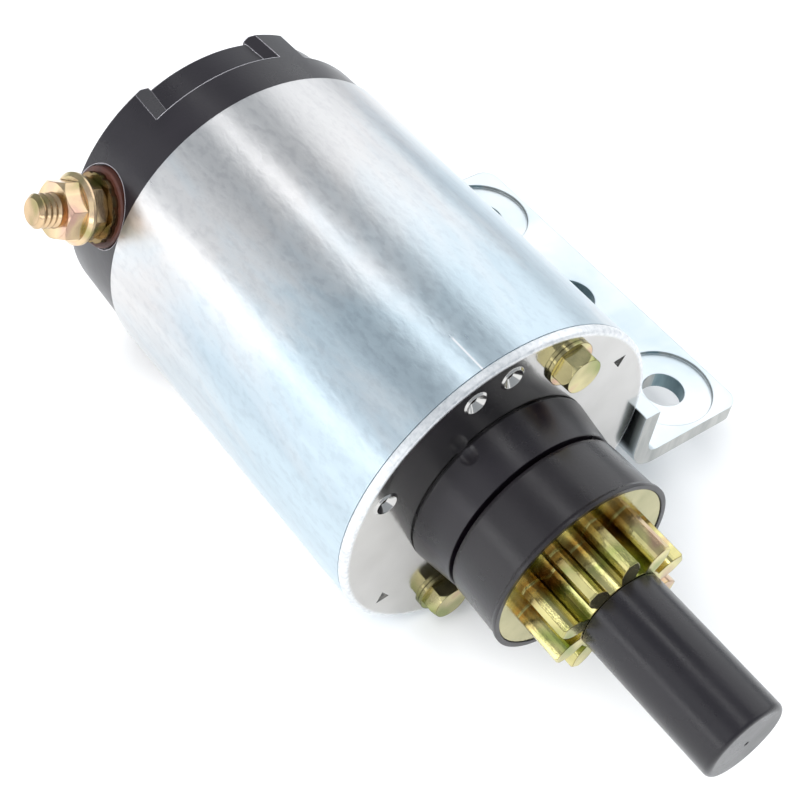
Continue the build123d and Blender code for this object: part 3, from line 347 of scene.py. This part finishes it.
def bracket_plating(tree, clouds):
    """Rolled faces, duller sheared edges, and blue-grey hole walls darkened as painted shade."""
    across = coordinate(tree, "Y")
    rolled = ramp(
        tree, clouds, (0.3, (0.56, 0.66, 0.72)), (0.5, (0.68, 0.74, 0.77)), (0.7, (0.76, 0.79, 0.80))
    )
    shear_marks = noise(tree, 400.0, stretch=(1, 1, 0.2))
    sheared = ramp(tree, shear_marks, (0.3, (0.34, 0.35, 0.34)), (0.7, (0.50, 0.50, 0.48)))
    bore_marks = noise(tree, 300.0, stretch=(1, 1, 0.3))
    # Painted shade: the hole walls are coloured dark blue-grey
    bore_with_painted_shade = ramp(tree, bore_marks, (0.3, (0.16, 0.24, 0.27)), (0.7, (0.28, 0.38, 0.41)))
    away_from_leg = spread(tree, across, 0.0, 1.0, -HOLE_BAND, HOLE_BAND)
    leg_or_outer_edge = mix(tree, away_from_leg, rolled, sheared)
    off_centre = combine(tree, "ABSOLUTE", across)
    near_holes = spread(tree, off_centre, 1.0, 0.0, HOLE_BAND, HOLE_BAND + HOLE_BAND_EDGE)
    walls = mix(tree, near_holes, leg_or_outer_edge, bore_with_painted_shade)
    squareness = spread(tree, facing(tree, "X"), 0.0, 1.0, 0.90, 0.99)
    sides = mix(tree, squareness, walls, sheared)
    flatness = spread(tree, facing(tree, "Z"), 0.0, 1.0, 0.3, 0.8)
    return mix(tree, flatness, sides, rolled)


def painted_shade_by_the_can(tree, colour):
    """The colour darkened as painted shade on the leg's face against the can, apart from its front end."""
    along = coordinate(tree, "X")
    towards_front = spread(tree, along, 0.0, 1.0, BRACKET_FRONT - PAINTED_SHADE_FADE, BRACKET_FRONT)
    # Painted shade: near black where the can covers the leg, fading to none at the front end
    painted_shade_colour = ramp(
        tree, towards_front, (0.0, (0.015, 0.015, 0.015)), (0.6, (0.35, 0.36, 0.34)), (1.0, WHITE)
    )
    across = coordinate(tree, "Y")
    by_the_can = spread(tree, across, 1.0, 0.0, CAN_HIGH.y, CAN_HIGH.y + PAINTED_SHADE_DEPTH)
    return mix(tree, by_the_can, colour, painted_shade_colour, "MULTIPLY")


def zinc_bracket(name):
    """The bracket's bright plating, with painted shade on the leg's face against the can."""
    material, tree, shader = start_material(name)
    clouds = noise(tree, 38.0, detail=4.0, distortion=0.4)
    colour = painted_shade_by_the_can(tree, bracket_plating(tree, clouds))
    connect(tree, shader, colour, 1.0, spread(tree, clouds, 0.42, 0.30))
    soften(tree, shader, noise(tree, 1000.0, detail=2.0), 30 * MICRON, 0.4 * MM)
    return material


def satin_black(name, roughness, tint, edge_highlight_and_wear):
    """Black paint or moulding with a violet-grey sheen and edges in their own colour, a painted highlight
    where lighter than the paint.
    """
    material, tree, shader = start_material(name)
    patches = noise(tree, 70.0, detail=5.0)
    paint = ramp(tree, patches, (0.35, scaled(tint, 0.75)), (0.68, tint))
    # Edge colour: a painted highlight standing in for light caught on rounded edges, where lighter than the
    # paint
    highlit_and_worn_edges = ramp(tree, noise(tree, 500.0), (0.3, edge_highlight_and_wear), (0.7, scaled(edge_highlight_and_wear, 1.3)))
    colour = mix(tree, edge_line_mask(tree, PAINT_EDGE_LINE), paint, highlit_and_worn_edges)
    connect(tree, shader, colour, 0.0, spread(tree, patches, roughness - 0.05, roughness + 0.07))
    soften(tree, shader, noise(tree, 1400.0, detail=2.0), 20 * MICRON, PAINT_EDGE_LINE)
    return material


def chromate_colours(tree, gold, rose):
    """Gold that drifts to olive green and to rose, as thin chromate films do."""
    drift = noise(tree, 95.0, detail=1.5, distortion=0.5)
    olive = (gold[0] * 0.55, gold[1] * 0.70, gold[2] * 0.45)
    return ramp(tree, drift, (0.32, olive), (0.45, gold), (0.55, scaled(gold, 1.3)), (0.68, rose))


def stained_edges(tree, colour, reach, stain):
    """The colour with darker lines where surfaces meet."""
    lines = ramp(tree, edge_line_mask(tree, reach), (0.0, WHITE), (1.0, stain))
    return mix(tree, 1.0, colour, lines, "MULTIPLY")


def yellow_chromate(name, gold, rose):
    """Yellow chromate over zinc on the bolts and the terminal's hardware."""
    material, tree, shader = start_material(name)
    colour = stained_edges(tree, chromate_colours(tree, gold, rose), BOLT_STAIN, (0.30, 0.24, 0.16))
    connect(tree, shader, colour, 1.0, spread(tree, noise(tree, 400.0), 0.14, 0.27))
    soften(tree, shader, noise(tree, 1600.0, detail=2.0), 20 * MICRON, 0.25 * MM)
    return material


def pinion_chromate(name):
    """The pinion's chromate: a khaki flange and gold teeth, browned beside the flange."""
    material, tree, shader = start_material(name)
    gold = chromate_colours(tree, (0.52, 0.47, 0.21), (0.54, 0.37, 0.24))
    flange_patches = noise(tree, 120.0, detail=2.0)
    khaki = ramp(tree, flange_patches, (0.3, (0.36, 0.34, 0.17)), (0.7, (0.50, 0.46, 0.25)))
    # Darker brown patches on the teeth next to the flange
    brown_patches = noise(tree, 260.0, detail=3.0)
    brown = ramp(tree, brown_patches, (0.35, (0.16, 0.10, 0.03)), (0.65, (0.42, 0.24, 0.07)))
    along = coordinate(tree, "X")
    unevenness = spread(tree, noise(tree, 200.0), -BROWN_RAGGED, BROWN_RAGGED)
    ragged = combine(tree, "ADD", along, unevenness)
    browned = spread(tree, ragged, 1.0, 0.0, FLANGE_FRONT + BROWN_FULL, FLANGE_FRONT + BROWN_END)
    on_teeth = spread(tree, along, 0.0, 1.0, FLANGE_FRONT, FLANGE_FRONT + FLANGE_EDGE)
    plated = mix(tree, on_teeth, khaki, mix(tree, browned, gold, brown))
    colour = stained_edges(tree, plated, TOOTH_STAIN, (0.40, 0.32, 0.22))
    connect(tree, shader, colour, 1.0, spread(tree, noise(tree, 400.0), 0.12, 0.24))
    soften(tree, shader, noise(tree, 1600.0, detail=2.0), 20 * MICRON, 0.25 * MM)
    return material


def laminated_steel(name):
    """Thin steel sheets stacked along X."""
    material, tree, shader = start_material(name)
    sheets = bands(tree, "X", 320.0)
    colour = ramp(tree, sheets, (0.1, (0.12, 0.12, 0.12)), (0.4, (0.42, 0.41, 0.40)))
    connect(tree, shader, colour, 1.0, spread(tree, noise(tree, 200.0), 0.35, 0.5))
    soften(tree, shader, sheets, 80 * MICRON, 0.2 * MM)
    return material


def wound_copper(name):
    """Enamelled wire bundles, seen as fine turns."""
    material, tree, shader = start_material(name)
    wires = bands(tree, "DIAGONAL", 260.0, distortion=1.5)
    colour = ramp(tree, wires, (0.1, (0.16, 0.05, 0.02)), (0.6, (0.60, 0.26, 0.11)))
    connect(tree, shader, colour, 0.7, spread(tree, noise(tree, 300.0), 0.3, 0.45))
    soften(tree, shader, wires, 200 * MICRON, 0.2 * MM)
    return material


# Each finish by its slot, as the function that makes it and that function's settings:
# plain_surface has a light and a dark colour, a metallic value, a roughness and a patch scale,
# satin_black has a roughness, a tint and an edge colour (a painted highlight where lighter), and
# yellow_chromate has gold and rose.
FINISHES = {
    "zinc_can": (zinc_can,),
    "zinc_plate": (zinc_plate,),
    "zinc_bracket": (zinc_bracket,),
    "weld": (plain_surface, (0.60, 0.61, 0.62), (0.42, 0.42, 0.43), 1.0, 0.45, 300.0),
    # The cast cap's light edge colour is a painted highlight
    "black_cast": (satin_black, 0.30, (0.010, 0.0075, 0.011), (0.60, 0.58, 0.62)),
    "black_cup": (satin_black, 0.29, (0.008, 0.006, 0.008), (0.012, 0.010, 0.012)),
    "black_plastic": (satin_black, 0.27, (0.007, 0.0055, 0.0085), (0.03, 0.028, 0.032)),
    "yellow_zinc": (yellow_chromate, (0.47, 0.42, 0.22), (0.60, 0.37, 0.27)),
    "pinion_zinc": (pinion_chromate,),
    "fibre_red": (plain_surface, (0.07, 0.020, 0.012), (0.04, 0.012, 0.008), 0.0, 0.5, 300.0),
    "fibre_tan": (plain_surface, (0.55, 0.42, 0.26), (0.42, 0.30, 0.17), 0.0, 0.6, 200.0),
    "steel": (plain_surface, (0.66, 0.66, 0.66), (0.50, 0.50, 0.50), 1.0, 0.3, 120.0),
    "spring_steel": (plain_surface, (0.46, 0.46, 0.48), (0.28, 0.28, 0.30), 1.0, 0.32, 150.0),
    "laminations": (laminated_steel,),
    "bronze": (plain_surface, (0.66, 0.44, 0.22), (0.48, 0.30, 0.14), 1.0, 0.45, 250.0),
    "copper": (plain_surface, (0.85, 0.46, 0.30), (0.62, 0.30, 0.18), 1.0, 0.32, 150.0),
    "enamelled_copper": (wound_copper,),
    "ferrite": (plain_surface, (0.11, 0.11, 0.12), (0.06, 0.06, 0.065), 0.0, 0.6, 180.0),
    "carbon": (plain_surface, (0.10, 0.10, 0.11), (0.05, 0.05, 0.055), 0.2, 0.5, 300.0),
    "brass": (plain_surface, (0.85, 0.66, 0.32), (0.66, 0.48, 0.20), 1.0, 0.3, 150.0),
    "rubber": (plain_surface, (0.045, 0.045, 0.045), (0.025, 0.025, 0.025), 0.0, 0.7, 150.0),
}

# Nodes whose finish differs from the rest of their slot
NODE_FINISHES = {
    "drive_end_nose": (satin_black, 0.30, (0.007, 0.005, 0.008), (0.004, 0.003, 0.004)),
    "terminal_stud": (yellow_chromate, (0.50, 0.36, 0.22), (0.58, 0.36, 0.27)),
    "terminal_washer": (yellow_chromate, (0.20, 0.145, 0.07), (0.26, 0.16, 0.09)),
    "terminal_jam_nut": (yellow_chromate, (0.56, 0.42, 0.25), (0.66, 0.42, 0.32)),
    "terminal_flange_nut": (yellow_chromate, (0.58, 0.44, 0.27), (0.66, 0.42, 0.33)),
}


def dress_cad_nodes():
    """Give every CAD node its own finish, or the finish of its slot."""
    made = {}
    for part in frame["record"]["subparts"]:
        node, slot = part["node"], part["material_slot"]
        name = node if node in NODE_FINISHES else slot
        if name not in made:
            make, *settings = NODE_FINISHES.get(name) or FINISHES[name]
            made[name] = make(name, *settings)
        mesh = frame["nodes"][node].data
        mesh.materials.clear()
        mesh.materials.append(made[name])


# Surroundings


def add_camera():
    """The camera, turned to look along CAMERA_FORWARD."""
    data = bpy.data.cameras.new("camera")
    data.lens = CAMERA_LENS
    data.sensor_width = SENSOR_WIDTH
    data.clip_start = CLIP_START
    camera = bpy.data.objects.new("camera", data)
    forward = CAMERA_FORWARD.normalized()
    right = forward.cross(CAMERA_UP).normalized()
    up = right.cross(forward)
    turn = Matrix((right, up, -forward)).transposed().to_4x4()
    camera.matrix_world = Matrix.Translation(CAMERA_PLACE) @ turn
    bpy.context.scene.collection.objects.link(camera)
    bpy.context.scene.camera = camera


def add_floor():
    """A wide pale floor under the object's lowest point."""
    lowest = cad_box[0][2]
    bpy.ops.mesh.primitive_plane_add(size=FLOOR_SIZE, location=(0, 0, lowest))
    floor = bpy.context.object
    floor.name = "floor"
    material, tree, shader = start_material("floor")
    shade = ramp(tree, noise(tree, 3.0), (0.3, (0.90, 0.90, 0.90)), (0.7, (0.92, 0.92, 0.92)))
    tree.links.new(shade, shader.inputs["Base Color"])
    shader.inputs["Roughness"].default_value = 0.9
    shader.inputs["Specular IOR Level"].default_value = 0.0
    floor.data.materials.append(material)


def add_world():
    """A pale surround for the metal to reflect."""
    world = bpy.data.worlds.new("studio")
    bpy.context.scene.world = world
    world.use_nodes = True
    tree = world.node_tree
    coordinates = tree.nodes.new("ShaderNodeTexCoord")
    split = tree.nodes.new("ShaderNodeSeparateXYZ")
    tree.links.new(coordinates.outputs["Generated"], split.inputs["Vector"])
    height = spread(tree, split.outputs["Z"], 0.0, 1.0, 0.0, 1.0)
    shade = ramp(
        tree, height, (0.0, (0.60, 0.64, 0.68)), (0.5, (0.50, 0.54, 0.58)), (1.0, (0.40, 0.43, 0.46))
    )
    tree.links.new(shade, tree.nodes["Background"].inputs["Color"])


def add_softbox(name, angle, distance, along, size, power, reflected=True):
    """A soft light at an angle in degrees about the motor's axis, aimed at the can."""
    data = bpy.data.lights.new(name, "AREA")
    data.shape = "RECTANGLE"
    data.size, data.size_y = size
    data.energy = power
    light = bpy.data.objects.new(name, data)
    turn = math.radians(angle)
    outward = Vector((0, math.cos(turn), math.sin(turn)))
    centre = Vector((along, AXIS_Y, AXIS_Z)) + outward * distance
    length_direction = Vector((1, 0, 0))
    width_direction = outward.cross(length_direction)
    facing_can = Matrix((length_direction, width_direction, outward)).transposed().to_4x4()
    light.matrix_world = Matrix.Translation(centre) @ facing_can
    light.visible_glossy = reflected
    bpy.context.scene.collection.objects.link(light)


def add_lights():
    """The strip lights that shape the can, and the fill for the floor."""
    for name, angle, width, power in STRIP_LIGHTS:
        add_softbox(name, angle, LIGHT_DISTANCE, 0.0, (STRIP_LENGTH, width), power)
    fill_size = (FILL_SIZE, FILL_SIZE)
    add_softbox("floor_fill", FILL_ANGLE, FILL_DISTANCE, FILL_ALONG, fill_size, FILL_POWER, reflected=False)


dress_cad_nodes()
add_camera()
add_floor()
add_world()
add_lights()
bpy.context.scene.view_settings.view_transform = "Standard"
